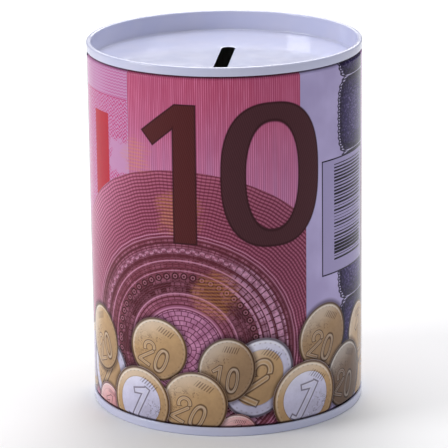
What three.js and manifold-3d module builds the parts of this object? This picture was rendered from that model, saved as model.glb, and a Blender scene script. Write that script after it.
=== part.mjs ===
// Round tin money box: a rolled tinplate body closed at both ends by pressed ends.
// Each end is held by a double seam, where the end's hook is rolled round the body's hook.
// Units are millimetres, +Z is up, and the origin is the centre of the base.
import * as THREE from "three";
import { mergeVertices } from "three/addons/utils/BufferGeometryUtils.js";
import Module from "manifold-3d";

// ---- Driving dimensions ----
const TIN_HEIGHT = 117.5;
const RIM_RADIUS = 43.5;
const BODY_RADIUS = 43.4;
const SHEET = 0.24; // thickness of the tinplate
const PLAY = 0.08; // clearance between two layers of a seam
const SEAM_HEIGHT = 2.8;
const RECESS_DEPTH = 6.4; // from the rim's top down to the panel
const SLOT_WIDTH = 4.4;
const SLOT_LENGTH = 32;

const RIM_CORNER = 0.4; // bend radius of the rim's two top corners
const PANEL_CORNER = 0.7; // bend radius between the chuck wall and the panel
const CHUCK_WALL_LEAN = 0.25; // how far the chuck wall leans in towards the panel
const SHOULDER_DROP = 1.0; // height over which the body narrows to its neck
const SHOULDER_GAP = 0.15; // from the shoulder's top to the seam's lower edge
const BEAD_ROOM = 0.3; // height left over the body's hook for the sealing compound
const HOOK_END_GAP = 0.5; // from the body hook's tip to the seam's lower edge
const LAP_WIDTH = 1.2; // welded overlap of the body's side seam
const LAP_RISE = 0.14; // how far the overlap stands in from the body's wall
const LAP_END_GAP = 2; // from the overlap's ends to the shoulders

const TURN_SEGMENTS = 48; // facets round the tin
const CORNER_STEPS = 2; // facets on a quarter bend
const HOOK_STEPS = 4; // facets on a half bend
const SLOT_END_STEPS = 12; // facets on each round end of the slot

// ---- Radii of the seam's five layers, each at the middle of the sheet, from outside in ----
const LAYER_PITCH = SHEET + PLAY;
const [SEAM_WALL, BODY_HOOK, COVER_HOOK, BODY_NECK, CHUCK_WALL] = [0, 1, 2, 3, 4].map(
  (layer) => RIM_RADIUS - SHEET / 2 - layer * LAYER_PITCH,
);
const HOOK_RADIUS = LAYER_PITCH; // a hook turns back two layers further in
const BODY_HOOK_TOP = -(SHEET / 2 + 2 * LAYER_PITCH + BEAD_ROOM); // centre of the body hook's bend

const wasm = await Module();
wasm.setup();

// ---- Solids ----

// A closed geometry as a solid that can be joined and cut.
function solidOf(geometry) {
  const bare = geometry.clone();
  bare.deleteAttribute("normal");
  bare.deleteAttribute("uv");
  const merged = mergeVertices(bare);
  return new wasm.Manifold(
    new wasm.Mesh({
      numProp: 3,
      vertProperties: new Float32Array(merged.attributes.position.array),
      triVerts: new Uint32Array(merged.index.array),
    }),
  );
}

function geometryOf(solid) {
  const { vertProperties, triVerts } = solid.getMesh();
  const geometry = new THREE.BufferGeometry();
  geometry.setAttribute("position", new THREE.BufferAttribute(vertProperties, 3));
  geometry.setIndex(new THREE.BufferAttribute(triVerts, 1));
  geometry.computeVertexNormals();
  return geometry;
}

// ---- Sheet metal ----

// The points of a bend: part of a circle about (radius, height), from one angle to the other in degrees.
function bend(radius, height, bendRadius, fromAngle, toAngle, steps) {
  return Array.from({ length: steps + 1 }, (_, step) => {
    const angle = THREE.MathUtils.degToRad(fromAngle + ((toAngle - fromAngle) * step) / steps);
    return new THREE.Vector2(radius + bendRadius * Math.cos(angle), height + bendRadius * Math.sin(angle));
  });
}

// One face of a sheet: its middle line moved sideways, with mitred corners so that it stays parallel.
function offsetLine(line, distance) {
  return line.map((point, i) => {
    const before = point.clone().sub(line[Math.max(i - 1, 0)]);
    const after = line[Math.min(i + 1, line.length - 1)].clone().sub(point);
    const along = i === 0 ? after.clone() : before.clone();
    const next = i === line.length - 1 ? before.clone() : after.clone();
    along.normalize();
    next.normalize();
    const middle = along.clone().add(next).normalize();
    const reach = distance / middle.dot(along);
    return new THREE.Vector2(point.x + middle.y * reach, point.y - middle.x * reach);
  });
}

// Turns a closed outline of (radius, height) points about the Z axis.
function turned(outline) {
  return new THREE.LatheGeometry(outline, TURN_SEGMENTS).rotateX(Math.PI / 2);
}

// A sheet that closes on itself as a ring: both faces and both cut edges.
function sheetRing(line) {
  const outer = offsetLine(line, SHEET / 2);
  const inner = offsetLine(line, -SHEET / 2).reverse();
  return turned([...outer, ...inner, outer[0].clone()]);
}

// A sheet whose middle line starts on the axis, such as a pressed end.
function sheetDisc(line) {
  return turned([...offsetLine(line, -SHEET / 2), ...offsetLine(line, SHEET / 2).reverse()].reverse());
}

// ---- The pressed ends, drawn with the rim's top at height 0 ----

function endLine() {
  const rimTop = -SHEET / 2;
  const cornerHeight = rimTop - RIM_CORNER;
  const panelHeight = -RECESS_DEPTH - SHEET / 2;
  const panelWall = CHUCK_WALL - CHUCK_WALL_LEAN;
  const hookTurn = -SEAM_HEIGHT + SHEET / 2 + HOOK_RADIUS;
  const hookTip = BODY_HOOK_TOP - PLAY;
  return [
    new THREE.Vector2(0, panelHeight),
    ...bend(panelWall - PANEL_CORNER, panelHeight + PANEL_CORNER, PANEL_CORNER, -90, 0, CORNER_STEPS),
    ...bend(CHUCK_WALL + RIM_CORNER, cornerHeight, RIM_CORNER, 180, 90, CORNER_STEPS),
    ...bend(SEAM_WALL - RIM_CORNER, cornerHeight, RIM_CORNER, 90, 0, CORNER_STEPS),
    ...bend(BODY_HOOK, hookTurn, HOOK_RADIUS, 0, -180, HOOK_STEPS),
    new THREE.Vector2(COVER_HOOK, hookTip),
  ];
}

function slotCutter() {
  const straight = SLOT_LENGTH / 2 - SLOT_WIDTH / 2;
  const outline = new THREE.Shape();
  outline.absarc(0, straight, SLOT_WIDTH / 2, 0, Math.PI);
  outline.absarc(0, -straight, SLOT_WIDTH / 2, Math.PI, 2 * Math.PI);
  outline.closePath();
  const depth = 10 * SHEET;
  const cutter = new THREE.ExtrudeGeometry(outline, {
    depth,
    bevelEnabled: false,
    curveSegments: SLOT_END_STEPS,
  });
  return cutter.translate(0, 0, -RECESS_DEPTH - SHEET / 2 - depth / 2);
}

const plainEnd = () => sheetDisc(endLine());
const slottedEnd = () => geometryOf(solidOf(plainEnd()).subtract(solidOf(slotCutter())));

// ---- The body: a rolled sheet with a neck and a hook at each end and a welded side seam ----

function bodyHalfLine() {
  const wall = BODY_RADIUS - SHEET / 2;
  const shoulderTop = TIN_HEIGHT - SEAM_HEIGHT - SHOULDER_GAP;
  const hookTop = TIN_HEIGHT + BODY_HOOK_TOP;
  return [
    new THREE.Vector2(wall, shoulderTop - SHOULDER_DROP),
    new THREE.Vector2(BODY_NECK, shoulderTop),
    ...bend(COVER_HOOK, hookTop, HOOK_RADIUS, 180, 0, HOOK_STEPS),
    new THREE.Vector2(BODY_HOOK, TIN_HEIGHT - SEAM_HEIGHT + HOOK_END_GAP),
  ];
}

function sideSeamLap() {
  const innerFace = BODY_RADIUS - SHEET;
  const lapEnd = SEAM_HEIGHT + SHOULDER_GAP + SHOULDER_DROP + LAP_END_GAP;
  const depth = LAP_RISE + SHEET / 2;
  const lap = new THREE.BoxGeometry(LAP_WIDTH, depth, TIN_HEIGHT - 2 * lapEnd);
  return lap.translate(0, innerFace - LAP_RISE + depth / 2, TIN_HEIGHT / 2);
}

function rolledBody() {
  const upper = bodyHalfLine();
  const lower = upper.map((point) => new THREE.Vector2(point.x, TIN_HEIGHT - point.y)).reverse();
  const tube = solidOf(sheetRing([...lower, ...upper]));
  return geometryOf(tube.add(solidOf(sideSeamLap())));
}

// ---- The sealing compound: a thin bead under the crown of each rim ----

function compoundBead() {
  const crown = -SHEET - PLAY;
  const floor = BODY_HOOK_TOP + HOOK_RADIUS + SHEET / 2 + PLAY;
  const inside = CHUCK_WALL + SHEET / 2 + PLAY;
  const outside = SEAM_WALL - SHEET / 2 - PLAY;
  const slope = crown - floor;
  return turned([
    new THREE.Vector2(inside, floor),
    new THREE.Vector2(outside, floor),
    new THREE.Vector2(outside - slope, crown),
    new THREE.Vector2(inside + slope, crown),
    new THREE.Vector2(inside, floor),
  ]);
}

// ---- Materials ----
const whiteEnamel = new THREE.MeshStandardMaterial({ color: 0xdcdaf0, roughness: 0.18, metalness: 0.0 });
const printedTin = new THREE.MeshStandardMaterial({ color: 0xa8587e, roughness: 0.2, metalness: 0.0 });
const compound = new THREE.MeshStandardMaterial({ color: 0x8a8f86, roughness: 0.85, metalness: 0.0 });

// ---- Assembly ----

function piece(name, geometry, material) {
  const mesh = new THREE.Mesh(geometry, material);
  mesh.name = name;
  return mesh;
}

// An end with its bead, drawn rim upwards about height 0.
function closure(endName, endGeometry, beadName) {
  const group = new THREE.Group();
  group.add(piece(endName, endGeometry, whiteEnamel));
  group.add(piece(beadName, compoundBead(), compound));
  return group;
}

const tin = new THREE.Group();
tin.add(piece("body_shell", rolledBody(), printedTin));

const top = closure("top_end", slottedEnd(), "top_seam_compound");
top.position.z = TIN_HEIGHT;
tin.add(top);

const bottom = closure("bottom_end", plainEnd(), "bottom_seam_compound");
bottom.rotation.x = Math.PI;
tin.add(bottom);

export default tin;
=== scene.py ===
"""Looks of the tin money box: a glossy printed can body between two white enamelled ends.

The print is drawn by shader maths in millimetres on the rolled-out sheet: u runs round the tin from
the front, and v runs up from the base.
"""
from math import atan2, cos, degrees, hypot, pi, radians, sin, tan

import bpy
from mathutils import Matrix, Vector


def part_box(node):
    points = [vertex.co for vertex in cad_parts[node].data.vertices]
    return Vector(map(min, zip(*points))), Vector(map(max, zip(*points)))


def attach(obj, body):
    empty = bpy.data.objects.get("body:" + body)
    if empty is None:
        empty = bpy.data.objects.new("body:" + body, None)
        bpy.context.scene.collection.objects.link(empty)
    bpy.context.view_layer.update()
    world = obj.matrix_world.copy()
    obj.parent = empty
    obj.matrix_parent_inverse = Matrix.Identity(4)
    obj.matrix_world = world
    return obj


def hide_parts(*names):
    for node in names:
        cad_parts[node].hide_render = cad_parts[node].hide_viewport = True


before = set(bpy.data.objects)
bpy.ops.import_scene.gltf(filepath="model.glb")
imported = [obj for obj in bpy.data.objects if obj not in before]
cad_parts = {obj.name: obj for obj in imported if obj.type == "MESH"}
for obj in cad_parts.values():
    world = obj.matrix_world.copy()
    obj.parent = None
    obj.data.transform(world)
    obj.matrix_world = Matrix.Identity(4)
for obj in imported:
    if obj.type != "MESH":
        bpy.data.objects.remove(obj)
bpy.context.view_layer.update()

# ---- Driving dimensions, in millimetres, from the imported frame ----
MM = 0.001
TOP_LOW, TOP_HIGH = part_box("top_end")
TIN_HEIGHT = TOP_HIGH[2] / MM
RIM_RADIUS = TOP_HIGH[0] / MM
BODY_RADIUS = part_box("body_shell")[1][0] / MM
CENTRE = (0, 0, TIN_HEIGHT / 2 * MM)  # in metres

# ---- The sheet and the seams, as the part's source has them ----
SHEET = 0.24
PLAY = 0.08  # clearance between two layers of a seam
SEAM_HEIGHT = 2.8
RECESS_DEPTH = (TOP_HIGH[2] - TOP_LOW[2]) / MM - SHEET
SLOT_WIDTH = 4.4
SLOT_LENGTH = 32.0
RIM_CORNER = 0.4
PANEL_CORNER = 0.7
CHUCK_WALL_LEAN = 0.25  # how far it leans in towards the panel
SHOULDER_DROP = 1.0  # height over which the body narrows to its neck
SHOULDER_GAP = 0.15  # from the shoulder's top to the seam's lower edge
BEAD_ROOM = 0.3  # height over the body's hook for the compound
HOOK_END_GAP = 0.5  # from the body hook's tip to the seam's lower edge
LAP_WIDTH = 1.2  # the side seam's welded overlap
LAP_RISE = 0.14  # how far it stands in from the wall
LAP_END_GAP = 2.0  # from its ends to the shoulders

LAYER_PITCH = SHEET + PLAY
SEAM_WALL, BODY_HOOK, COVER_HOOK, BODY_NECK, CHUCK_WALL = (
    RIM_RADIUS - SHEET / 2 - layer * LAYER_PITCH for layer in range(5)
)
RIM_MIDDLE = (SEAM_WALL + CHUCK_WALL) / 2
BODY_HOOK_TOP = -(SHEET / 2 + 2 * LAYER_PITCH + BEAD_ROOM)  # centre of the body hook's bend
SHOULDER_REACH = SEAM_HEIGHT + SHOULDER_GAP + SHOULDER_DROP  # from the tin's end to its plain wall

# ---- Details that only the looks have ----
SHOULDER_BEND = 0.45  # bend radius of the body's shoulder
SLOT_EDGE_ROLL = 0.06  # the punch rounds the slot's upper edge down by this much
WELD_RIDGE = 0.04  # height of the line that the weld leaves on the outside
LAP_BEVEL = 0.05
WALL_FLUTTER = 0.035  # how far the rolled wall wanders in and out
FLUTTER_WAVES = ((5, 0.4, 1.1), (9, 1.7, 0.6), (14, 4.0, 0.4))  # turns, lean, share

# ---- Mesh fineness ----
TURN_STEPS = 256  # round the tin
BEND_STEPS = 8  # on a quarter bend
WALL_RINGS = 56  # up the body's wall
LAP_ROWS = 24
PANEL_INNER_RADIUS = 24.0  # outer circle of the panel's grid
PANEL_CORE_RADIUS = 2.0  # its inner circle where there is no slot
PANEL_SHARES = (0.0, 0.02, 0.06, 0.14, 0.3, 0.5, 0.75)  # places of its rings from inner to outer
SHARP_ANGLE = radians(50)
MAP_ROW = 0.48  # height of each of the bake map's two rows of print

# ---- Camera and light ----
CAMERA_TURN = 5.5  # degrees from -Y towards +X
CAMERA_RISE = 15.9
CAMERA_ROLL = -0.68
CAMERA_DISTANCE = 870.0  # from the middle of the tin
CAMERA_LENS = 217.9
CAMERA_SENSOR = 36.0
CAMERA_SHIFT = (-0.0051, -0.0158)
CAMERA_CLIP = (0.01, 50.0)  # metres

# Each light: name, place and size in metres, power.
LIGHTS = (
    ("overhead", (0.0, 0.42, 0.75), (0.5, 1.4), 8.5),
    ("left_key", (-0.85, -0.35, 0.42), (0.4, 0.3), 4.2),
    ("right_fill", (0.85, -0.35, 0.42), (0.4, 0.3), 0.8),
)
WORLD_COLOUR = (0.95, 0.96, 1.0, 1.0)
WORLD_STRENGTH = 0.3
LIGHT_LEVEL = 0.7  # how bright pure white would show on the front of the tin
FLOOR_REACH = 6.0  # metres from the tin
FLOOR_TONES = ((0.88, 0.88, 0.89, 1), (0.9, 0.9, 0.9, 1))

# ---- Finishes. A pair is the two ends that a noise moves between. ----
ENAMEL_TONES = ((0.58, 0.6, 0.79, 1), (0.61, 0.62, 0.79, 1))
ENAMEL_SPECK = (0.52, 0.52, 0.62, 1)
ENAMEL_WORN = (0.42, 0.41, 0.46, 1)
ENAMEL_ROUGHNESS = (0.07, 0.13)
ENAMEL_BUMP = 0.012
WORN_DEPTH = 0.12  # how far the wear reaches down from a rim's crown
WORN_SHARE = 0.5
WORN_ROUGHNESS = 0.2
TINPLATE_TONES = ((176, 174, 168), (204, 203, 199))  # display colours
TINPLATE_ROUGHNESS = (0.28, 0.42)
TINPLATE_BUMP = 0.008
COMPOUND_TONES = ((112, 108, 104), (150, 146, 140))
COMPOUND_ROUGHNESS = (0.6, 0.8)
COMPOUND_BUMP = 0.05
PRINT_ROUGHNESS = (0.11, 0.18)
PRINT_BUMP = 0.02
PRINT_IOR = 1.2  # low, so that dark inks stay dark over the pale floor


def srgb(red, green, blue, gain=1.0):
    """A display colour, 0 to 255, as linear light times gain."""
    def linear(channel):
        share = channel / 255
        return share / 12.92 if share <= 0.04045 else ((share + 0.055) / 1.055) ** 2.4

    return tuple(min(linear(channel) * gain, 0.98) for channel in (red, green, blue)) + (1.0,)


def ink(red, green, blue):
    """The ink that shows as this display colour on the lit front of the tin."""
    return srgb(red, green, blue, 1 / LIGHT_LEVEL)


# ---- Sheet metal outlines: lists of (radius, height) in millimetres ----


def bend(radius, height, bend_radius, from_angle, to_angle, steps=BEND_STEPS):
    """Part of a circle about (radius, height), angles in degrees."""
    angles = (radians(from_angle + (to_angle - from_angle) * step / steps) for step in range(steps + 1))
    return [(radius + bend_radius * cos(angle), height + bend_radius * sin(angle)) for angle in angles]


def rounded_corner(before, corner, after, bend_radius):
    """The corner of a line, replaced by a bend that meets both of its sides."""
    here = Vector(corner)
    back = (Vector(before) - here).normalized()
    ahead = (Vector(after) - here).normalized()
    half_turn = back.angle(ahead) / 2
    centre = here + (back + ahead).normalized() * (bend_radius / sin(half_turn))
    start = here + back * (bend_radius / tan(half_turn))
    end = here + ahead * (bend_radius / tan(half_turn))
    first = atan2(*(start - centre).yx)
    last = atan2(*(end - centre).yx)
    turn = (last - first + pi) % (2 * pi) - pi
    return bend(centre.x, centre.y, bend_radius, degrees(first), degrees(first + turn), BEND_STEPS // 2)


def offset_line(line, distance):
    """One face of a sheet: its middle line moved sideways, with mitred corners."""
    moved = []
    for i, point in enumerate(line):
        here = Vector(point)
        before = here - Vector(line[max(i - 1, 0)])
        after = Vector(line[min(i + 1, len(line) - 1)]) - here
        along = (after if i == 0 else before).normalized()
        following = (before if i == len(line) - 1 else after).normalized()
        middle = (along + following).normalized()
        reach = distance / middle.dot(along)
        moved.append((here.x + middle.y * reach, here.y - middle.x * reach))
    return moved


def end_line():
    """Middle line of a pressed end from the panel's edge to the cover hook, rim top at height 0."""
    rim_top = -SHEET / 2
    corner_height = rim_top - RIM_CORNER
    panel_height = -RECESS_DEPTH - SHEET / 2
    panel_wall = CHUCK_WALL - CHUCK_WALL_LEAN
    hook_turn = -SEAM_HEIGHT + SHEET / 2 + LAYER_PITCH
    return [
        (PANEL_INNER_RADIUS, panel_height),
        ((PANEL_INNER_RADIUS + panel_wall) / 2, panel_height),
        *bend(panel_wall - PANEL_CORNER, panel_height + PANEL_CORNER, PANEL_CORNER, -90, 0),
        *bend(CHUCK_WALL + RIM_CORNER, corner_height, RIM_CORNER, 180, 90),
        *bend(SEAM_WALL - RIM_CORNER, corner_height, RIM_CORNER, 90, 0),
        *bend(BODY_HOOK, hook_turn, LAYER_PITCH, 0, -180, 2 * BEND_STEPS),
        (COVER_HOOK, BODY_HOOK_TOP - PLAY),
    ]


def body_half_line():
    """Middle line of the body's upper shoulder, neck and hook, at the tin's own height."""
    wall = BODY_RADIUS - SHEET / 2
    shoulder_top = TIN_HEIGHT - SEAM_HEIGHT - SHOULDER_GAP
    hook_top = TIN_HEIGHT + BODY_HOOK_TOP
    low_corner = (wall, shoulder_top - SHOULDER_DROP)
    high_corner = (BODY_NECK, shoulder_top)
    return [
        *rounded_corner((wall, 0), low_corner, high_corner, SHOULDER_BEND),
        *rounded_corner(low_corner, high_corner, (BODY_NECK, hook_top), SHOULDER_BEND / 2),
        *bend(COVER_HOOK, hook_top, LAYER_PITCH, 180, 0, 2 * BEND_STEPS),
        (BODY_HOOK, TIN_HEIGHT - SEAM_HEIGHT + HOOK_END_GAP),
    ]


# ---- Mesh building ----


def new_object(name, data):
    thing = bpy.data.objects.new(name, data)
    bpy.context.collection.objects.link(thing)
    return thing


class Solid:
    """Collects points, faces, and each face's material and bake map corners."""

    def __init__(self):
        self.points = []
        self.faces = []
        self.materials = []
        self.maps = []

    def add_points(self, points):
        start = len(self.points)
        self.points.extend(points)
        return start

    def add_face(self, corners, material=0, places=None):
        self.faces.append(corners)
        self.materials.append(material)
        self.maps.append(places)

    def build(self, name, materials, slot):
        mesh = bpy.data.meshes.new(name)
        mesh.from_pydata([tuple(c * MM for c in point) for point in self.points], [], self.faces)
        for material in materials:
            mesh.materials.append(material)
        mesh.polygons.foreach_set("material_index", self.materials)
        mesh.polygons.foreach_set("use_smooth", [True] * len(self.faces))
        mesh.set_sharp_from_angle(angle=SHARP_ANGLE)
        if all(self.maps):
            layer = mesh.uv_layers.new(name="OFBake")
            layer.data.foreach_set("uv", [c for places in self.maps for place in places for c in place])
        mesh.validate()
        piece = new_object(name, mesh)
        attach(piece, "root")
        return piece


def turn_angle(step):
    """Steps are counted from the side seam at +Y, clockwise seen from above."""
    return pi / 2 - 2 * pi * step / TURN_STEPS


def ring(radius, height, lift=None):
    """One circle of points. lift gives how far each point stands out from the radius."""
    points = []
    for step in range(TURN_STEPS):
        angle = turn_angle(step)
        reach = radius + (lift(step, height) if lift else 0)
        points.append((reach * cos(angle), reach * sin(angle), height))
    return points


def add_bands(solid, starts, closed, material_of=lambda band: 0, place_of=None):
    """Quads between consecutive rings of points. closed joins the last ring to the first.

    material_of gives a band's material, and place_of gives a quad's four places on the bake map.
    """
    count = len(starts)
    for band in range(count if closed else count - 1):
        low, high = starts[band], starts[(band + 1) % count]
        for step in range(TURN_STEPS):
            after = (step + 1) % TURN_STEPS
            corners = (low + step, high + step, high + after, low + after)
            places = place_of(band, step) if place_of else None
            solid.add_face(corners, material_of(band), places)


# ---- Material tools ----


class Field:
    """A value at every point of a surface. Arithmetic on it adds math nodes to the material."""

    def __init__(self, tree, socket):
        self.tree = tree
        self.socket = socket

    def math(self, operation, *others, clamp=False):
        """This operation on this value and the others. clamp keeps the result from 0 to 1."""
        node = add_node(self.tree, "Math", self, *others)
        node.operation = operation
        node.use_clamp = clamp
        return Field(self.tree, node.outputs[0])

    def __add__(self, other):
        return self.math("ADD", other)

    def __sub__(self, other):
        return self.math("SUBTRACT", other)

    def __mul__(self, other):
        return self.math("MULTIPLY", other)

    def __truediv__(self, other):
        return self.math("DIVIDE", other)

    def __rsub__(self, other):
        return (self * -1) + other

    def times_plus(self, factor, offset):
        return self.math("MULTIPLY_ADD", factor, offset)

    def below(self, edge):
        return self.math("LESS_THAN", edge)

    def above(self, edge):
        return self.math("GREATER_THAN", edge)

    def least(self, other):
        return self.math("MINIMUM", other)

    def most(self, other):
        return self.math("MAXIMUM", other)

    def size(self):
        return self.math("ABSOLUTE")

    def power(self, exponent):
        return self.math("POWER", exponent)

    def wrapped(self, period):
        """The distance to the nearest multiple of period, with its sign."""
        return self.math("WRAP", period / 2, -period / 2)

    def inside(self, softness=0.12):
        """1 where a signed distance is negative, fading over softness."""
        return self.math("MULTIPLY_ADD", -1 / softness, 0.5, clamp=True)

    def line(self, middle, half_width, softness=0.12):
        """1 on a line at this value."""
        return (((self - middle) if middle else self).size() - half_width).inside(softness)


def feed(entry, value):
    """Links a field to a node's input, or sets the input's own value."""
    if isinstance(value, Field):
        value.tree.links.new(value.socket, entry)
    else:
        entry.default_value = value


def add_node(tree, kind, *values):
    """A new shader node, with the values on its first inputs."""
    node = tree.nodes.new("ShaderNode" + kind)
    for entry, value in zip(node.inputs, values):
        feed(entry, value)
    return node


MIX_ENTRIES = {"FLOAT": (2, 3, 0), "VECTOR": (4, 5, 1), "RGBA": (6, 7, 2)}  # two inputs, one output


def mixed(share, first, second, kind="RGBA", blend="MIX"):
    """first, with this share of second put over it."""
    node = add_node(share.tree, "Mix", share)
    node.data_type = kind
    if kind == "RGBA":
        node.blend_type = blend
    entry_a, entry_b, result = MIX_ENTRIES[kind]
    feed(node.inputs[entry_a], first)
    feed(node.inputs[entry_b], second)
    return Field(share.tree, node.outputs[result])


def fade(value, from_low, from_high, to_low=0.0, to_high=1.0):
    """A smooth change from to_low to to_high."""
    node = add_node(value.tree, "MapRange", value, from_low, from_high, to_low, to_high)
    node.interpolation_type = "SMOOTHSTEP"
    return Field(value.tree, node.outputs[0])


def noise(place, scale, detail=2.0, roughness=0.5):
    """Soft noise from 0 to 1, with about scale waves in each unit of place."""
    node = add_node(place.tree, "TexNoise", place)
    node.inputs["Scale"].default_value = scale
    node.inputs["Detail"].default_value = detail
    node.inputs["Roughness"].default_value = roughness
    return Field(place.tree, node.outputs["Fac"])


def vector(x, y):
    return Field(x.tree, add_node(x.tree, "CombineXYZ", x, y).outputs[0])


def parts_of(place):
    """The x, y and z of a vector field."""
    node = add_node(place.tree, "SeparateXYZ", place)
    return [Field(place.tree, output) for output in node.outputs]


def vector_math(operation, place, other=None):
    node = add_node(place.tree, "VectorMath", place)
    node.operation = operation
    if other is not None:
        feed(node.inputs[1], other)
    output = "Value" if operation in {"LENGTH", "DISTANCE", "DOT_PRODUCT"} else "Vector"
    return Field(place.tree, node.outputs[output])


def mapped(place, location, turn, scale):
    """place as seen from a piece of artwork at location, turned by turn degrees and sized by scale."""
    node = add_node(place.tree, "Mapping", place)
    node.vector_type = "TEXTURE"
    node.inputs["Location"].default_value = (*location, 0)
    node.inputs["Rotation"].default_value = (0, 0, radians(turn))
    node.inputs["Scale"].default_value = (*scale, 1)
    return Field(place.tree, node.outputs[0])


def new_material(name, roughness=0.5, metallic=0.0, ior=1.5):
    """A material with one Principled shader. Returns both, and the place on the tin in millimetres."""
    material = bpy.data.materials.new(name)
    material.use_nodes = True
    tree = material.node_tree
    shader = tree.nodes["Principled BSDF"]
    shader.inputs["Roughness"].default_value = roughness
    shader.inputs["Metallic"].default_value = metallic
    shader.inputs["IOR"].default_value = ior
    coordinates = add_node(tree, "TexCoord")
    place = vector_math("SCALE", Field(tree, coordinates.outputs["Object"]))
    place.socket.node.inputs["Scale"].default_value = 1 / MM
    return material, shader, place


def dress(shader, colour, roughness, height, bump):
    """Feeds a material's shader. A height of 1 stands bump millimetres out."""
    feed(shader.inputs["Base Color"], colour)
    feed(shader.inputs["Roughness"], roughness)
    node = add_node(height.tree, "Bump")
    node.inputs["Distance"].default_value = bump * MM
    feed(node.inputs["Height"], height)
    feed(shader.inputs["Normal"], Field(height.tree, node.outputs["Normal"]))


# ---- The white enamel, bare tin and seam compound ----


def enamel_material():
    """Glossy white enamel, a little uneven, worn to a thin grey where the rims rub, and greyer in noisy
    patches along each seam's lower edge.
    """
    material, shader, place = new_material("white_enamel")
    x, y, z = parts_of(place)
    radius = (x * x + y * y).power(0.5)
    mottle = noise(place, 0.09, 3)
    colour = mixed(fade(mottle, 0.35, 0.65), *ENAMEL_TONES)
    speck = fade(noise(place, 1.9, 4, 0.7), 0.69, 0.76, 0.0, 0.35)
    colour = mixed(speck, colour, ENAMEL_SPECK)
    past_end = (z - TIN_HEIGHT / 2).size() - TIN_HEIGHT / 2  # 0 at the tin's ends, negative between
    crown = radius.line(RIM_MIDDLE, 0.9, 0.6) * fade(past_end, -WORN_DEPTH, 0.0)
    # seam_foot: the seam's lower edge, greyed in the same noisy patches as the crowns
    seam_foot = fade(past_end, -SEAM_HEIGHT, -SEAM_HEIGHT + 0.4, 1.0, 0.0) * radius.above(CHUCK_WALL + 0.3)
    rubbed = fade(noise(place, 0.55, 4, 0.65), 0.52, 0.66)
    colour = mixed(crown.most(seam_foot) * rubbed * WORN_SHARE, colour, ENAMEL_WORN)
    gloss = fade(noise(place, 0.3, 3), 0.3, 0.7, *ENAMEL_ROUGHNESS)
    roughness = gloss + crown * rubbed * WORN_ROUGHNESS
    peel = noise(place, 1.1, 1) * 0.35
    rolling = noise(vector_math("MULTIPLY", place, (0.02, 1.2, 0.02)), 1.0, 2) * 0.25
    swell = noise(place, 0.12, 1) * 3.0
    dress(shader, colour, roughness, peel + rolling + swell, ENAMEL_BUMP)
    return material


def bare_tin_material():
    """The tinplate's inner side: clear lacquer over dull tin with fine rolling lines."""
    material, shader, place = new_material("bare_tin", metallic=1.0)
    grain = noise(vector_math("MULTIPLY", place, (1.0, 1.0, 0.03)), 4.0, 4, 0.7)
    dull, bright = (srgb(*tone) for tone in TINPLATE_TONES)
    colour = mixed(fade(grain, 0.3, 0.7), dull, bright)
    dress(shader, colour, fade(grain, 0.25, 0.75, *TINPLATE_ROUGHNESS), grain, TINPLATE_BUMP)
    return material


def compound_material():
    """Grey sealing compound, slightly grainy."""
    material, shader, place = new_material("seam_compound", ior=1.45)
    grain = noise(place, 3.0, 4, 0.6)
    dark, pale = (srgb(*tone) for tone in COMPOUND_TONES)
    roughness = fade(grain, 0.3, 0.7, *COMPOUND_ROUGHNESS)
    dress(shader, mixed(grain, dark, pale), roughness, grain, COMPOUND_BUMP)
    return material


# ---- The three sheets ----


def both_faces(line):
    """Outline of a sheet about its middle line: one face out, then the other face back."""
    return offset_line(line, SHEET / 2) + offset_line(line, -SHEET / 2)[::-1]


def slot_edge(step):
    """A point on the coin slot's edge. Equal steps, from its end at +Y, clockwise."""
    end_radius = SLOT_WIDTH / 2
    straight = SLOT_LENGTH / 2 - end_radius
    quarter = end_radius * pi / 2 + straight
    quarter_steps = TURN_STEPS // 4
    along = step % (2 * quarter_steps)
    back = along > quarter_steps
    reach = (2 * quarter_steps - along if back else along) / quarter_steps * quarter
    angle = min(reach / end_radius, pi / 2)
    x = end_radius * sin(angle)
    y = straight + end_radius * cos(angle) if angle < pi / 2 else straight - (reach - end_radius * pi / 2)
    y = -y if back else y
    return (x, y) if step < 2 * quarter_steps else (-x, -y)


def small_circle(step):
    """A point on the small circle that the closed base panel's grid runs in to."""
    angle = turn_angle(step)
    return PANEL_CORE_RADIUS * cos(angle), PANEL_CORE_RADIUS * sin(angle)


def panel_ring(edge, share, height):
    """A ring of panel points, share of the way from its inner edge to the outer circle."""
    points = []
    for step in range(TURN_STEPS):
        angle = turn_angle(step)
        near = edge(step)
        far = (PANEL_INNER_RADIUS * cos(angle), PANEL_INNER_RADIUS * sin(angle))
        points.append((*(a + (b - a) * share for a, b in zip(near, far)), height))
    return points


def end_solid(edge, edge_roll):
    """A pressed end with its rim's top at height 0. edge gives the panel's inner edge."""
    solid = Solid()
    top = -RECESS_DEPTH
    starts = [solid.add_points(panel_ring(edge, share, top - SHEET)) for share in PANEL_SHARES]
    starts += [solid.add_points(ring(*point)) for point in both_faces(end_line())]
    for share in reversed(PANEL_SHARES):
        starts.append(solid.add_points(panel_ring(edge, share, top - (0 if share else edge_roll))))
    return solid, starts


def make_top_end(enamel):
    solid, starts = end_solid(slot_edge, SLOT_EDGE_ROLL)
    add_bands(solid, starts, True)
    piece = solid.build("top_end_sheet", [enamel], "white_enamel")
    piece.data.transform(Matrix.Translation((0, 0, TIN_HEIGHT * MM)))
    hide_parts("top_end")


def make_bottom_end(enamel):
    solid, starts = end_solid(small_circle, 0)
    add_bands(solid, starts, False)
    solid.add_face(tuple(starts[0] + step for step in range(TURN_STEPS)))
    solid.add_face(tuple(starts[-1] + step for step in reversed(range(TURN_STEPS))))
    piece = solid.build("bottom_end_sheet", [enamel], "white_enamel")
    piece.data.transform(Matrix.Rotation(pi, 4, "X"))
    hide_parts("bottom_end")


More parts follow.
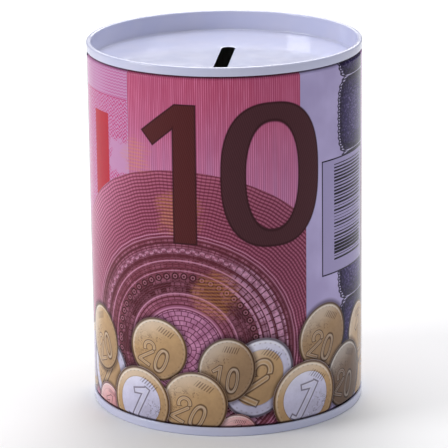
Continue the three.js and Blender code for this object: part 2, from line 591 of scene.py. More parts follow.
def body_line():
    """Middle line of the whole body sheet, from the lower hook up to the upper one."""
    upper = body_half_line()
    lower = [(radius, TIN_HEIGHT - height) for radius, height in reversed(upper)]
    wall, low = lower[-1]
    rise = (upper[0][1] - low) / WALL_RINGS
    return lower + [(wall, low + rise * count) for count in range(1, WALL_RINGS)] + upper


def wall_lift(step, height):
    """How far the rolled wall stands out here: slow waves, and a low ridge at the weld."""
    angle = turn_angle(step)
    fall = max(sin(pi * height / TIN_HEIGHT), 0)
    waves = sum(
        share * sin(turns * angle + lean * height / BODY_RADIUS) for turns, lean, share in FLUTTER_WAVES
    )
    return fall * WALL_FLUTTER * waves + (WELD_RIDGE if step == 0 else 0)


def make_body(printed, bare):
    """The rolled body. The outer face is printed, and its bake map has the print in two rows."""
    outline = both_faces(body_line())
    printed_bands = len(outline) // 2 - 1
    half_turn = TURN_STEPS // 2
    solid = Solid()
    starts = [solid.add_points(ring(*point, wall_lift)) for point in outline]

    def place_of(band, step):
        if band < printed_bands:
            row, column = divmod(step, half_turn)
            across = [(column + more) / half_turn for more in (0, 0, 1, 1)]
            heights = [outline[band + more][1] / TIN_HEIGHT for more in (0, 1, 1, 0)]
            return [(a, (row + h) * MAP_ROW) for a, h in zip(across, heights)]
        across = [(step + more) / TURN_STEPS for more in (0, 0, 1, 1)]
        shares = [(band + more) / len(outline) for more in (0, 1, 1, 0)]
        return [(a, 2 * MAP_ROW + share * (1 - 2 * MAP_ROW)) for a, share in zip(across, shares)]

    add_bands(solid, starts, True, lambda band: 0 if band < printed_bands else 1, place_of)
    piece = solid.build("body_sheet", [printed, bare], "printed_tin")
    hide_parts("body_shell")


def make_weld_lap(bare):
    """The overlapped edge of the body sheet, a low strip down the inside of the side seam."""
    low = SHOULDER_REACH + LAP_END_GAP
    wall = BODY_RADIUS - SHEET
    face = wall - LAP_RISE
    half = LAP_WIDTH / 2
    section = [
        (-half, wall + LAP_BEVEL), (-half, face + LAP_BEVEL), (-half + LAP_BEVEL, face),
        (half - LAP_BEVEL, face), (half, face + LAP_BEVEL), (half, wall + LAP_BEVEL),
    ]
    solid = Solid()
    count = len(section)
    for row in range(LAP_ROWS + 1):
        height = low + (TIN_HEIGHT - 2 * low) * row / LAP_ROWS
        solid.add_points([(x, y, height) for x, y in section])
    for row in range(LAP_ROWS):
        for i in range(count):
            after = (i + 1) % count
            base = row * count
            solid.add_face((base + i, base + after, base + count + after, base + count + i))
    solid.add_face(tuple(reversed(range(count))))
    solid.add_face(tuple(LAP_ROWS * count + i for i in range(count)))
    solid.build("side_seam_lap", [bare], "printed_tin")


def finish_compound(compound):
    """The two beads of sealing compound stay as the CAD has them."""
    for name in ("top_seam_compound", "bottom_seam_compound"):
        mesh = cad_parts[name].data
        mesh.materials.clear()
        mesh.materials.append(compound)


# ---- Floor, lights and camera ----


def make_floor():
    material, shader, place = new_material("pale_floor", roughness=0.9)
    tone = fade(noise(place, 0.004, 2), 0.3, 0.7)
    feed(shader.inputs["Base Color"], mixed(tone, *FLOOR_TONES))
    mesh = bpy.data.meshes.new("floor")
    corners = [(x * FLOOR_REACH, y * FLOOR_REACH, 0) for x, y in ((-1, -1), (1, -1), (1, 1), (-1, 1))]
    mesh.from_pydata(corners, [], [(0, 1, 2, 3)])
    mesh.materials.append(material)
    floor = new_object("floor", mesh)


def add_light(name, place, width, height, power):
    """A soft rectangular light at place, facing the middle of the tin. Lengths in metres."""
    light = bpy.data.lights.new(name, "AREA")
    light.shape = "RECTANGLE"
    light.size = width
    light.size_y = height
    light.energy = power
    lamp = new_object(name, light)
    lamp.location = place
    lamp.rotation_mode = "QUATERNION"
    lamp.rotation_quaternion = (Vector(CENTRE) - Vector(place)).to_track_quat("-Z", "Y")


def make_lights():
    for name, place, size, power in LIGHTS:
        add_light(name, place, *size, power)
    world = bpy.data.worlds.new("studio")
    world.use_nodes = True
    background = world.node_tree.nodes["Background"]
    background.inputs["Color"].default_value = WORLD_COLOUR
    background.inputs["Strength"].default_value = WORLD_STRENGTH
    bpy.context.scene.world = world


def make_camera():
    turn, rise = radians(CAMERA_TURN), radians(CAMERA_RISE)
    back = Vector((sin(turn) * cos(rise), -cos(turn) * cos(rise), sin(rise)))
    data = bpy.data.cameras.new("camera")
    data.sensor_width = CAMERA_SENSOR
    data.lens = CAMERA_LENS
    data.shift_x, data.shift_y = CAMERA_SHIFT
    data.clip_start, data.clip_end = CAMERA_CLIP
    camera = new_object("camera", data)
    camera.location = Vector(CENTRE) + back * CAMERA_DISTANCE * MM
    aim = (-back).to_track_quat("-Z", "Y").to_matrix().to_4x4()
    camera.rotation_mode = "QUATERNION"
    camera.rotation_quaternion = (aim @ Matrix.Rotation(radians(CAMERA_ROLL), 4, "Z")).to_quaternion()
    bpy.context.scene.camera = camera
    bpy.context.scene.view_settings.view_transform = "Standard"


# ---- The print: a banknote drawn round the tin, over a belt of coins ----

# Inks are display colours. A pair goes from one end of its range to the other.
PAPER_INKS = ((164, 154, 191), (148, 138, 175))
FIELD_LEFT = -33.0
FIELD_RIGHT = (24.0, 26.0)  # above and below FIELD_STEP
FIELD_STEP = 75.0
FIELD_INKS = ((160, 106, 142), (156, 66, 94))
FIELD_CLOUD_INKS = ((184, 96, 128), (146, 70, 104))
PINSTRIPE_PITCH = 0.68
PINSTRIPE_INKS = ((138, 40, 76), (208, 134, 172))
BAND_INK = (168, 121, 156)
BAND_LINE_INK = (158, 60, 104)
BAND_HEAD = 105.0  # height of the line between the zigzag and the ripples
ZIGZAG_GAP = ((-37.0, 86.5), (4.8, 5.5))  # middle and half size of the patch without zigzag
ZIGZAG_INK = (164, 58, 106)
RIPPLE_INK = (158, 70, 118)
RED_BAR = ((-47.0, 60.0), (4.5, 39.3))  # middle, half size
RED_BAR_INKS = ((164, 36, 46), (148, 34, 52))
NUMERAL_STEM = ((-16.6, 62.0), (-9.1, 62.0), (-9.1, 105.8), (-15.8, 105.8), (-16.6, 105.2))
NUMERAL_FLAG = ((-27.4, 96.8), (-23.4, 92.4), (-16.5, 98.0), (-12.0, 105.8), (-15.8, 105.8))
NUMERAL_INKS = ((68, 26, 26), (60, 32, 37))  # the 1 and the 0
NUMERAL_LINE_INKS = ((118, 66, 78), (44, 16, 22))  # engraving, outline
ZERO_OUTSIDE = ((14.6, 83.6), (16.2, 22.6), 2.5)  # middle, half size, squareness
ZERO_INSIDE = ((14.7, 83.4), (8.6, 17.0), 2.3)
RIBBON_LOBE = ((53.0, 97.6), (12.8, 12.9), 4.2)
RIBBON_PITCH = 23.8
RIBBON_HEART = (6.2, 7.0)  # half size of the paler oval in each lobe
RIBBON_INKS = ((28, 14, 64), (8, 0, 22))  # inside, edge
RIBBON_WEAVE_INK = (104, 88, 142)
RIBBON_SPECKLE_INK = (112, 98, 150)
RIBBON_DOT_INK = (176, 168, 200)
RIBBON_HEART_INK = (84, 74, 122)
LABEL_BOX = ((46.0, 66.5), (13.5, 18.5))
LABEL_BARS = ((47.6, 67.8), (9.3, 15.8))
LABEL_BAR_PITCH = 1.05
LABEL_INK, LABEL_LINE_INK, LABEL_BAR_INK = (142, 133, 169), (26, 18, 34), (14, 8, 20)
ROSETTE_CENTRE = (-14.5, 28.0)
ROSETTE_RADIUS = 57.0
ROSETTE_CORE = 13.0  # radius of the finest brickwork
ROSETTE_OUTER = 36.4  # fine lines and spokes run from this radius to the edge
ROSETTE_TONES = (
    (0.0, (146, 92, 122)), (13.0, (138, 84, 114)), (15.0, (118, 62, 82)), (17.5, (132, 78, 98)),
    (19.0, (62, 20, 26)), (22.0, (68, 26, 34)), (24.5, (102, 48, 60)), (28.0, (106, 50, 64)),
    (30.5, (96, 44, 56)), (31.7, (136, 82, 104)), (34.5, (104, 50, 64)), (37.0, (114, 56, 72)),
    (44.0, (112, 52, 66)), (52.0, (120, 58, 74)), (57.0, (132, 66, 84)),
)
# Rings, as radius and half width.
ROSETTE_LIGHT_LINES = (
    (13.5, 0.2), (18.0, 0.2), (25.4, 0.12), (28.6, 0.2), (36.2, 0.12), (37.2, 0.12),
)
ROSETTE_DARK_LINES = (
    (13.0, 0.16), (14.5, 0.25), (16.0, 0.15), (17.1, 0.25), (20.6, 0.12), (26.1, 0.2), (27.3, 0.12),
    (30.2, 0.45), (33.3, 0.16), (34.3, 0.35), (35.5, 0.18),
)
ROSETTE_LINE_INKS = ((180, 126, 152), (76, 28, 38))  # light, dark
ROSETTE_GLOW_INK = (194, 122, 154)  # left side of the outer part
ROSETTE_SHADE_INK = (88, 52, 70)  # right side
FINE_LINE_PITCH = 1.05
FINE_LINE_INKS = ((84, 24, 46), (196, 112, 146))
SPOKE_STEP = 1.45  # degrees
SPOKE_INK = (84, 26, 50)
WAVY_RING = (31.8, 64, 0.55)  # radius, waves in a turn, height of a wave
WAVY_RING_INKS = ((176, 126, 150), (84, 36, 48))
BRICKS = (1.55, 2.1, 0.14)  # height of a course, width of a brick, half width of a joint
BRICK_INKS = ((194, 138, 170), (78, 30, 52))  # brick, joint
RING_BRICK_INKS = ((176, 112, 136), (62, 22, 32))
HAIRLINE_INK = (170, 112, 134)
BLOCKS = (2.35, 2.3, 0.16)  # the pale blocks on the right, as in BRICKS
BLOCK_INKS = ((196, 148, 178), (72, 32, 44))
CIRCLE_RING = (23.6, 7.0, 0.95)  # radius, degrees between circles, and their own radius
CIRCLE_INKS = ((150, 96, 112), (52, 22, 26))
OCHRE_TINTS = ((-30.0, 88.0, 6.0), (-15.0, 72.0, 8.0), (-4.0, 46.0, 8.0))  # u, v, radius
OCHRE_INK = (186, 124, 70)
# The note starts again beyond each u, shifted by this much and with this cast of colour.
NOTE_WRAPS = ((60.0, -101.0, (0.62, 0.66, 1.0, 1)), (-62.0, 114.0, (0.95, 0.9, 0.62, 1)))
NOTE_CAST_SHARE = 0.75
COIN_BELT = 2 * pi * BODY_RADIUS / 2  # the coins come round twice
COIN_SHADOW = 1.6  # how far a printed coin's shadow reaches
COIN_SHADOW_TONE = (0.12, 0.08, 0.1, 1)
# painted shade for the groove under each seam
SHOULDER_SHADE_INK = (34, 26, 32)
WELD_MARGIN = 4.0  # bare sheet on each side of the weld
WELD_MARGIN_TONES = ((150, 150, 154), (190, 190, 194))
WELD_TONE = (96, 94, 96)

GOLD, DEEP_GOLD, DARK_GOLD = (177, 145, 106), (154, 126, 96), (106, 84, 68)
SILVER, BRIGHT_SILVER, COPPER = (166, 158, 188), (190, 188, 210), (196, 140, 142)
# Coins, the lower ones first: middle, half size, lean, numeral (0 to 3 show 1, 10, 20 and 2), rim
# and core colours.
COINS = (
    ((57.5, 10.0), (10.5, 11.5), 12, 1, SILVER, GOLD),
    ((-60.0, 16.0), (7.8, 11.5), -10, 0, GOLD, SILVER),
    ((-47.0, 15.0), (11.6, 12.0), 0, 3, BRIGHT_SILVER, GOLD),
    ((-49.5, 25.0), (9.3, 10.8), 20, 2, GOLD, GOLD),
    ((-46.0, 3.0), (7.5, 7.5), -15, 0, COPPER, COPPER),
    ((-23.0, 27.0), (10.3, 10.3), -24, 2, GOLD, GOLD),
    ((33.5, 28.5), (10.3, 11.0), -24, 2, DEEP_GOLD, DEEP_GOLD),
    ((9.5, 18.8), (11.0, 13.5), -28, 3, BRIGHT_SILVER, GOLD),
    ((56.0, 24.0), (9.0, 10.5), 10, 0, GOLD, GOLD),
    ((45.0, 13.0), (10.5, 11.0), -20, 2, DARK_GOLD, DARK_GOLD),
    ((2.5, 0.5), (6.8, 6.8), -10, 0, COPPER, COPPER),
    ((-0.5, 21.7), (9.0, 10.6), -10, 1, DEEP_GOLD, DEEP_GOLD),
    ((-11.0, 10.0), (10.7, 11.0), -26, 2, GOLD, GOLD),
    ((-30.3, 8.5), (11.3, 11.6), -28, 0, GOLD, BRIGHT_SILVER),
    ((26.0, 10.0), (11.8, 12.2), -32, 0, GOLD, BRIGHT_SILVER),
)
# On a coin, lengths are in coin radii.
COIN_CORE = 0.7
COIN_GROOVE = 0.71
COIN_BEADS = (0.87, 36)  # radius, number
COIN_GLINT = 0.895
COIN_EDGE = (0.915, 0.955)
COIN_HATCHING = ((-0.16, 0.64), (0.26, 0.1))  # middle, half size
COIN_SPECKS = (-0.05, 0.32, 0)
COIN_PATCH = ((-0.5, -0.15), (0.32, 0.5))
COIN_LINE_TONE = (0.26, 0.22, 0.24, 1)
COIN_NUMERAL_TONE = (0.22, 0.18, 0.2, 1)
COIN_EDGE_TONE = (0.16, 0.12, 0.13, 1)


class Artwork:
    """The print on the rolled-out sheet, painted layer over layer. u and v are in millimetres."""

    def __init__(self, u, v, colour):
        self.u = u
        self.v = v
        self.place = vector(u, v)
        self.colour = colour

    def paint(self, share, colour, blend="MIX"):
        self.colour = mixed(share, self.colour, colour, blend=blend)

    def darken(self, share, colour):
        self.paint(share, colour, "MULTIPLY")

    def brighten(self, share, colour):
        self.paint(share, colour, "SCREEN")

    def print(self, share, display_colour):
        self.paint(share, ink(*display_colour))

    def streaks(self, across, along, detail=2):
        """Noise with its own fineness across and along the tin, in waves per millimetre."""
        return noise(vector(self.u * across, self.v * along), 1.0, detail)


def between(share, inks):
    """The colour at this share of the way from the first ink to the second."""
    first, second = (ink(*display_colour) for display_colour in inks)
    return mixed(share, first, second)


def ramp(value, stops):
    """Colours along a value, from (value, display colour) stops in rising order."""
    last = stops[-1][0]
    node = add_node(value.tree, "ValToRGB", value / last)
    elements = node.color_ramp.elements
    for i, (at, colour) in enumerate(stops):
        element = elements[i] if i < 2 else elements.new(1.0)
        element.position = at / last
        element.color = ink(*colour)
    return Field(value.tree, node.outputs[0])


def chance(x, y):
    """An even random number for each pair of whole numbers."""
    node = add_node(x.tree, "TexWhiteNoise", vector(x, y))
    node.noise_dimensions = "2D"
    return Field(x.tree, node.outputs["Value"])


def box_distance(x, y, middle, half):
    """Signed distance to an upright box, negative inside."""
    return ((x - middle[0]).size() - half[0]).most((y - middle[1]).size() - half[1])


def oval_distance(x, y, middle, half, squareness):
    """Rough signed distance to a squared oval."""
    across = ((x - middle[0]).size() / half[0]).power(squareness)
    up = ((y - middle[1]).size() / half[1]).power(squareness)
    return ((across + up).power(1 / squareness) - 1) * half[0]


def polygon_distance(x, y, corners):
    """Signed distance to a convex outline whose corners run anticlockwise."""
    distance = None
    for (x0, y0), (x1, y1) in zip(corners, corners[1:] + corners[:1]):
        length = hypot(x1 - x0, y1 - y0)
        out_x, out_y = (y1 - y0) / length, (x0 - x1) / length
        side = x * out_x + y.times_plus(out_y, -(x0 * out_x + y0 * out_y))
        distance = distance.most(side) if distance else side
    return distance


def stroke_distance(x, y, start, end, half_width):
    """Signed distance to a round-ended stroke."""
    run, rise = end[0] - start[0], end[1] - start[1]
    x, y = x - start[0], y - start[1]
    along = (x * run + y * rise).math("MULTIPLY", 1 / (run * run + rise * rise), clamp=True)
    x, y = x - along * run, y - along * rise
    return (x * x + y * y).power(0.5) - half_width


def paint_side_band(art):
    """The pale band left of the pink field, with a pink zigzag below its head."""
    band = (art.u - FIELD_LEFT).inside(0.3)
    art.print(band, BAND_INK)
    zigzag = (art.v + art.u.wrapped(1.7).size() * 1.2 + art.streaks(0.6, 0.6) * 1.4).wrapped(1.15)
    from_gap = box_distance(art.u, art.v, *ZIGZAG_GAP) + art.streaks(0.4, 0.4) * 6
    lower = band * (art.v - BAND_HEAD).inside(0.2) * fade(from_gap, 2.0, 3.5)
    art.print(lower * zigzag.line(0, 0.26, 0.2), ZIGZAG_INK)
    ripple = (art.v + (art.u * 4.0).math("SINE") * 0.12).wrapped(0.95).line(0, 0.2, 0.2)
    head = band * art.v.above(BAND_HEAD) * fade(art.u, -50, -40, 0.25, 0.7)
    art.print(head * ripple, RIPPLE_INK)
    art.print(band * art.v.line(BAND_HEAD, 0.14), BAND_LINE_INK)


def paint_field(art):
    """The pink field, paler towards its foot, with upright pinstripes."""
    right = fade(art.v, FIELD_STEP, FIELD_STEP + 0.2, FIELD_RIGHT[1], FIELD_RIGHT[0])
    field = (art.u - FIELD_LEFT).math("MULTIPLY", 4, clamp=True) * (art.u - right).inside()
    art.paint(field, between(fade(art.v, 78, 112), FIELD_INKS))
    art.print(field * fade(art.streaks(0.5, 0.01, 1), 0.35, 0.65) * 0.3, FIELD_CLOUD_INKS[0])
    stripe = art.u.wrapped(PINSTRIPE_PITCH).size()
    strength = fade(art.streaks(1.6, 0.08, 2), 0.35, 0.65, 0.1, 0.62)
    art.print(field * (stripe - 0.09).inside(0.1) * 0.5, PINSTRIPE_INKS[0])
    art.print(field * (0.26 - stripe).inside(0.1) * strength, PINSTRIPE_INKS[1])
    art.print(field * fade(art.streaks(0.05, 0.05), 0.35, 0.65) * 0.25, FIELD_CLOUD_INKS[1])


def paint_red_bar(art):
    bar = box_distance(art.u, art.v, *RED_BAR).inside(0.3)
    art.paint(bar, between(art.streaks(0.9, 0.2), RED_BAR_INKS))


def paint_ochre_tints(art):
    """Ragged patches of ochre, hatched across."""
    ragged = art.streaks(0.22, 0.22, 3) * 9
    for u, v, radius in OCHRE_TINTS:
        reach = vector_math("DISTANCE", art.place, (u, v, 0)) + ragged
        hatch = art.v.wrapped(1.1).line(0, 0.22, 0.2) * 0.3 + 0.12
        art.print(fade(reach, radius + 1, radius + 5.5, 1.0, 0.0) * hatch, OCHRE_INK)


def courses(radius, angle, pitch, width, joint):
    """Ringed brickwork. Gives the signed distance from a joint and a random number per brick."""
    course = (radius / pitch).math("FLOOR")
    middle = course.times_plus(pitch, pitch / 2)
    count = (middle * (2 * pi / width)).math("FLOOR").most(1)
    along = (angle / (2 * pi)) * count + course * 0.5
    end_gap = along.wrapped(1).size() * (middle * (2 * pi)) / count
    gap = end_gap.least(radius.wrapped(pitch).size()) - joint
    return gap, chance(course, (along + 0.5).math("FLOOR"))


def paint_rosette(art):
    """Rings, small circles and brickwork round one centre."""
    across = art.u - ROSETTE_CENTRE[0]
    up = art.v - ROSETTE_CENTRE[1]
    radius = (across * across + up * up).power(0.5)
    angle = up.math("ARCTAN2", across)
    rosette = (radius - ROSETTE_RADIUS).inside(0.3) * (art.u - FIELD_RIGHT[1]).inside(0.2)
    outer = radius.above(ROSETTE_OUTER)

    def draw(share, display_colour):
        art.print(rosette * share, display_colour)

    draw(0.94, (0, 0, 0))  # shows only along the rosette's soft edge, as a thin dark outline
    art.paint(rosette, ramp(radius, ROSETTE_TONES))
    draw(outer * fade(across, -8, -42) * fade(radius, 34, 57, 0.3, 0.72), ROSETTE_GLOW_INK)
    draw(fade(across, 8, 36) * 0.4, ROSETTE_SHADE_INK)
    paint_outer_lines(draw, outer, radius, angle)
    paint_wavy_ring(draw, radius, angle)
    paint_bricks(draw, radius, angle)
    paint_blocks(draw, radius, angle)
    paint_circles(draw, radius, angle)
    for at, half_width in ROSETTE_DARK_LINES:
        draw(radius.line(at, half_width, 0.16) * 0.85, ROSETTE_LINE_INKS[1])
    for at, half_width in ROSETTE_LIGHT_LINES:
        draw(radius.line(at, half_width, 0.16) * 0.7, ROSETTE_LINE_INKS[0])


def paint_outer_lines(draw, outer, radius, angle):
    """Fine wavy rings in the rosette's outer part, crossed by spokes."""
    lines = (radius + (angle * 36).math("SINE") * 0.12).wrapped(FINE_LINE_PITCH)
    draw(outer * lines.line(0, 0.17, 0.16) * 0.6, FINE_LINE_INKS[0])
    draw(outer * (0.3 - lines.size()).inside(0.2) * 0.35, FINE_LINE_INKS[1])
    spokes = angle.wrapped(radians(SPOKE_STEP)) * radius
    draw(outer * spokes.line(0, 0.15, 0.14) * 0.5, SPOKE_INK)


def paint_wavy_ring(draw, radius, angle):
    """Two waves that cross each other all the way round."""
    at, turns, height = WAVY_RING
    wave = (angle * turns).math("SINE") * height
    draw((radius + wave).line(at, 0.3, 0.3) * 0.75, WAVY_RING_INKS[0])
    draw((radius - wave).line(at, 0.22, 0.3) * 0.6, WAVY_RING_INKS[1])


def paint_bricks(draw, radius, angle):
    """Brickwork: bright bricks in the core, faint ones and hairlines in the rings round it."""
    gap, tone = courses(radius, angle, *BRICKS)
    core = radius.below(ROSETTE_CORE)
    draw(core * gap.inside(0.22), BRICK_INKS[1])
    draw(core * (1 - gap.inside(0.22)) * (tone * 0.55), BRICK_INKS[0])
    rings = radius.above(14.6) * radius.below(35.4)
    draw(rings * (1 - gap.inside(0.2)) * fade(tone, 0.4, 1.0) * 0.3, RING_BRICK_INKS[0])
    draw(rings * gap.inside(0.2) * 0.7, RING_BRICK_INKS[1])
    hairlines = (radius + (angle * 90).math("SINE") * 0.1).wrapped(BRICKS[0] / 2)
    draw(rings * hairlines.line(0, 0.09, 0.12) * 0.18, HAIRLINE_INK)


def paint_blocks(draw, radius, angle):
    """Pale blocks in courses on the rosette's right."""
    gap, tone = courses(radius, angle, *BLOCKS)
    band = radius.above(24.8) * radius.below(34.2) * fade(angle, 1.15, 0.75)
    draw(band * (1 - gap.inside(0.2)) * (tone * 0.6 + 0.15), BLOCK_INKS[0])
    draw(band * gap.inside(0.2), BLOCK_INKS[1])


def paint_circles(draw, radius, angle):
    """A ring of small circles, each with a dot."""
    at, step, size = CIRCLE_RING
    along = (angle + radians(step / 2)).wrapped(radians(step)) * at
    out = radius - at
    reach = (along * along + out * out).power(0.5)
    draw(reach.line(size, 0.2, 0.16), CIRCLE_INKS[1])
    draw((reach - size + 0.25).inside(0.16) * 0.6, CIRCLE_INKS[0])
    draw((reach - 0.35).inside(0.16), CIRCLE_INKS[1])


def paint_ribbon(art):
    """The violet lobes at the right, darker towards their edges."""
    middle, half, squareness = RIBBON_LOBE
    up = (art.v - middle[1]).wrapped(RIBBON_PITCH)
    reach = oval_distance(art.u, up, (middle[0], 0), half, squareness) + (up * 3.1).math("SINE") * 0.2
    lobe = reach.inside(0.3)
    art.paint(lobe, between(fade(reach, -5.5, -0.5), RIBBON_INKS))
    weave = (reach + (up * 2.4).math("SINE") * 0.25).wrapped(0.9).line(0, 0.16, 0.2)
    art.print(lobe * weave * 0.14, RIBBON_WEAVE_INK)
    speckle = fade(art.streaks(1.1, 1.1, 3), 0.5, 0.62) * fade(reach, -9.0, -1.5, 0.6, 0.15)
    art.print(lobe * speckle, RIBBON_SPECKLE_INK)
    dots = reach.line(-0.8, 0.22, 0.3) * up.wrapped(0.9).line(0, 0.22, 0.3)
    art.print(dots, RIBBON_DOT_INK)
    heart = oval_distance(art.u, up, (middle[0] + 1.5, 0), RIBBON_HEART, 2.0)
    art.print(heart.inside(0.4) * 0.3, RIBBON_HEART_INK)


def paint_label(art):
    """A plain ruled box with bars of random widths, which stand for no number."""
    box = box_distance(art.u, art.v, *LABEL_BOX)
    art.print(box.inside(), LABEL_INK)
    art.print(box.line(-0.2, 0.22, 0.1), LABEL_LINE_INK)
    row = (art.v / LABEL_BAR_PITCH + 0.5).math("FLOOR")
    half_width = chance(row, 7.0) * 0.36 + 0.08
    bars = (art.v.wrapped(LABEL_BAR_PITCH).size() - half_width).inside()
    art.print(box_distance(art.u, art.v, *LABEL_BARS).inside() * bars, LABEL_BAR_INK)


def paint_numeral(art):
    """The big dark 10, with a darker outline and faint engraved lines."""
    flag = polygon_distance(art.u, art.v, NUMERAL_FLAG)
    one = polygon_distance(art.u, art.v, NUMERAL_STEM).least(flag)
    hole = oval_distance(art.u, art.v, *ZERO_INSIDE)
    zero = oval_distance(art.u, art.v, *ZERO_OUTSIDE).most(hole * -1)
    shape = one.least(zero)
    art.paint(shape.inside(0.2), between(fade(art.u, -9, 0), NUMERAL_INKS))
    engraving = (art.u + art.v * 0.35).wrapped(0.7).line(0, 0.12, 0.16)
    art.print(shape.inside(0.2) * engraving * 0.12, NUMERAL_LINE_INKS[0])
    art.print(shape.line(-0.1, 0.26, 0.25) * 0.8, NUMERAL_LINE_INKS[1])


# Coin numerals: signed distances to plain figures about 1 high, centred on 0.


def numeral_one(x, y):
    flag = polygon_distance(x, y, ((-0.3, 0.26), (-0.22, 0.16), (0.02, 0.3), (0.1, 0.5), (0.0, 0.5)))
    foot = box_distance(x, y, (0.05, -0.46), (0.2, 0.05))
    return box_distance(x, y, (0.05, 0.0), (0.08, 0.5)).least(flag).least(foot)


def numeral_two(x, y):
    bowl = ((x * x + (y - 0.22) * (y - 0.22)).power(0.5) - 0.21).size() - 0.07
    bowl = bowl.most((y - x * 0.5) * -1 + 0.12)
    slope = stroke_distance(x, y, (0.19, 0.14), (-0.22, -0.4), 0.07)
    return bowl.least(slope).least(box_distance(x, y, (0.0, -0.43), (0.29, 0.07)))


def numeral_zero(x, y):
    hole = oval_distance(x, y, (0, 0), (0.13, 0.34), 2.2)
    return oval_distance(x, y, (0, 0), (0.27, 0.5), 2.4).most(hole * -1)


def coin_numeral(place, kind):
    """Signed distance to the coin's plain numeral: 1, 10, 20 or 2 for kinds 0 to 3."""
    x, y, _ = parts_of(mapped(place, (0.02, -0.08), 0, (1.15, 1.15)))
    one = numeral_one(x + 0.02, y)
    two = numeral_two(x + 0.02, y)
    x, y, _ = parts_of(mapped(place, (-0.05, -0.28), 0, (0.82, 0.82)))
    zero = numeral_zero(x - 0.38, y)
    ten = numeral_one(x + 0.26, y).least(zero)
    twenty = numeral_two(x + 0.26, y).least(zero)
    low = mixed(kind.above(0.5), one, ten, "FLOAT")
    high = mixed(kind.above(2.5), twenty, two, "FLOAT")
    return mixed(kind.above(1.5), low, high, "FLOAT")


def coin_face(place, kind, rim, core):
    """A coin's colour from the place on it in radii: rim, core, plain numeral, beads and specks."""
    x, y, _ = parts_of(place)
    radius = (x * x + y * y).power(0.5)
    angle = y.math("ARCTAN2", x)
    slant = y - x  # the light on the coins comes from the upper left
    coin = Artwork(x, y, mixed(radius.above(COIN_CORE), core, rim))
    brushed = noise(vector(x * 3, y * 3), 1.0, 4, 0.7)
    coin.darken(fade(brushed, 0.3, 0.7) * 0.35, (0.6, 0.58, 0.6, 1))
    coin.darken(fade(slant, -1.1, 1.1, 0.5, 0.0), (0.45, 0.42, 0.45, 1))
    coin.brighten(fade(slant, 0.2, 1.3, 0.0, 0.3), (1.0, 0.97, 0.92, 1))
    numeral = coin_numeral(place, kind)
    coin.brighten(numeral.line(-0.03, 0.012, 0.02) * 0.25, (0.9, 0.85, 0.8, 1))
    coin.darken(numeral.line(0.0, 0.018, 0.02) * 0.85, COIN_NUMERAL_TONE)
    clear = fade(numeral, 0.03, 0.08)  # keeps the other marks off the numeral
    groove = radius.line(COIN_GROOVE, 0.008, 0.02)
    coin.darken(groove * (kind.below(0.5) + kind.above(2.5)) * 0.6, (0.35, 0.3, 0.32, 1))
    beads_at, beads = COIN_BEADS
    beading = radius.line(beads_at, 0.016, 0.02) * angle.wrapped(2 * pi / beads).line(0, 0.03, 0.03)
    coin.darken(beading * 0.5, (0.4, 0.35, 0.36, 1))
    lean = x - y * 0.3
    hatching = lean.wrapped(0.085).line(0, 0.018, 0.022)
    hatching = hatching * box_distance(lean, y, *COIN_HATCHING).inside(0.03)
    coin.darken(hatching * clear * 0.8, COIN_LINE_TONE)
    specks = fade(noise(place, 11.0, 2), 0.56, 0.6)
    specks = specks * (vector_math("DISTANCE", place, COIN_SPECKS) - 0.12).inside(0.12)
    coin.darken(specks * clear * 0.75, COIN_LINE_TONE)
    side = x * (1 - kind.below(0.5) * 2)  # coins with a 1 have their patch on the other side
    grain = noise(place, 4.5, 3, 0.6)
    patch = box_distance(side, y, *COIN_PATCH).inside(0.3) * radius.below(0.84)
    coin.darken(grain.line(0.5, 0.011, 0.016) * patch * clear * 0.8, COIN_LINE_TONE)
    coin.darken(fade(grain, 0.5, 0.56) * patch * clear * 0.2, (0.5, 0.45, 0.45, 1))
    glint = radius.line(COIN_GLINT, 0.018, 0.03) * fade(slant, -0.6, 1.0, 0.1, 0.8)
    coin.brighten(glint * 0.6, (0.9, 0.86, 0.82, 1))
    coin.darken(fade(radius, *COIN_EDGE) * 0.92, COIN_EDGE_TONE)
    return coin.colour


def paint_coins(art):
    """The overlapping coins. The top coin at each point is found first, and then drawn once."""
    belt = vector(art.u.wrapped(COIN_BELT), art.v)
    place = belt
    rim = core = ink(*SILVER)
    kind = shadow = cover = 0.0
    for middle, half, lean, numeral, rim_colour, core_colour in COINS:
        local = mapped(belt, middle, lean, half)
        reach = (vector_math("LENGTH", local) - 1) * half[0]
        over = reach.inside(0.16)
        halo = fade(reach, 0.0, COIN_SHADOW, 0.75, 0.0)
        place = mixed(over, place, local, "VECTOR")
        kind = mixed(over, kind, float(numeral), "FLOAT")
        rim = mixed(over, rim, ink(*rim_colour))
        core = mixed(over, core, ink(*core_colour))
        shadow = halo.most(shadow) * (1 - over)
        cover = over.most(cover)
    art.paint(cover, coin_face(place, kind, rim, core))
    art.darken(shadow, COIN_SHADOW_TONE)


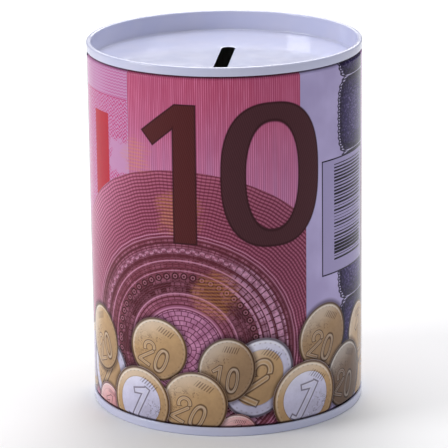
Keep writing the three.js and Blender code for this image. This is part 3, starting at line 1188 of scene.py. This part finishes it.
def paint_shoulder_shade(art):
    """Painted shade on the folded-in edges by the rims, standing for the shadow in the groove under each
    seam.
    """
    past_wall = (art.v - TIN_HEIGHT / 2).size() - (TIN_HEIGHT / 2 - SHOULDER_REACH)
    # painted shade, darkest past the plain wall's ends
    art.print(fade(past_wall, 0.25, 0.8) * 0.8, SHOULDER_SHADE_INK)


def paint_weld_margin(art):
    """Bare sheet either side of the weld, where the print stops."""
    print_turn = radians(CAMERA_TURN) * BODY_RADIUS
    from_weld = pi * BODY_RADIUS - (art.u + print_turn).size()
    dull, bright = (srgb(*tone) for tone in WELD_MARGIN_TONES)
    sheet = mixed(art.streaks(3.0, 0.2, 3), dull, bright)
    art.paint((from_weld - WELD_MARGIN).inside(), sheet)
    art.paint(from_weld.line(0, 0.35, 0.3) * 0.6, srgb(*WELD_TONE))


def printed_material():
    """Glossy inks under lacquer on tinplate."""
    material, shader, place = new_material("printed_tin", ior=PRINT_IOR)
    x, y, z = parts_of(place)
    u = (x.math("ARCTAN2", y * -1) - radians(CAMERA_TURN)) * BODY_RADIUS
    beyond = [u.above(start) if start > 0 else u.below(start) for start, _, _ in NOTE_WRAPS]
    note_u = u
    for share, (_, shift, _) in zip(beyond, NOTE_WRAPS):
        note_u = note_u + share * shift
    art = Artwork(note_u, z, between(fade(noise(place, 0.05, 3), 0.35, 0.65), PAPER_INKS))
    for layer in (paint_side_band, paint_field, paint_red_bar, paint_rosette, paint_ochre_tints,
                  paint_ribbon, paint_label, paint_numeral):
        layer(art)
    for share, (_, _, cast) in zip(beyond, NOTE_WRAPS):
        art.darken(share * NOTE_CAST_SHARE, cast)
    art = Artwork(u, z, art.colour)
    for layer in (paint_coins, paint_weld_margin, paint_shoulder_shade):
        layer(art)
    gloss = fade(noise(place, 0.25, 3), 0.3, 0.7, *PRINT_ROUGHNESS)
    crease = noise(vector_math("MULTIPLY", place, (0.35, 0.35, 0.006)), 1.0, 2)
    peel = noise(place, 1.4, 1)
    dress(shader, art.colour, gloss, crease * 2.0 + peel * 0.2, PRINT_BUMP)
    return material


def build_tin():
    enamel = enamel_material()
    bare = bare_tin_material()
    printed = printed_material()
    make_top_end(enamel)
    make_bottom_end(enamel)
    make_body(printed, bare)
    make_weld_lap(bare)
    finish_compound(compound_material())


build_tin()
make_floor()
make_lights()
make_camera()
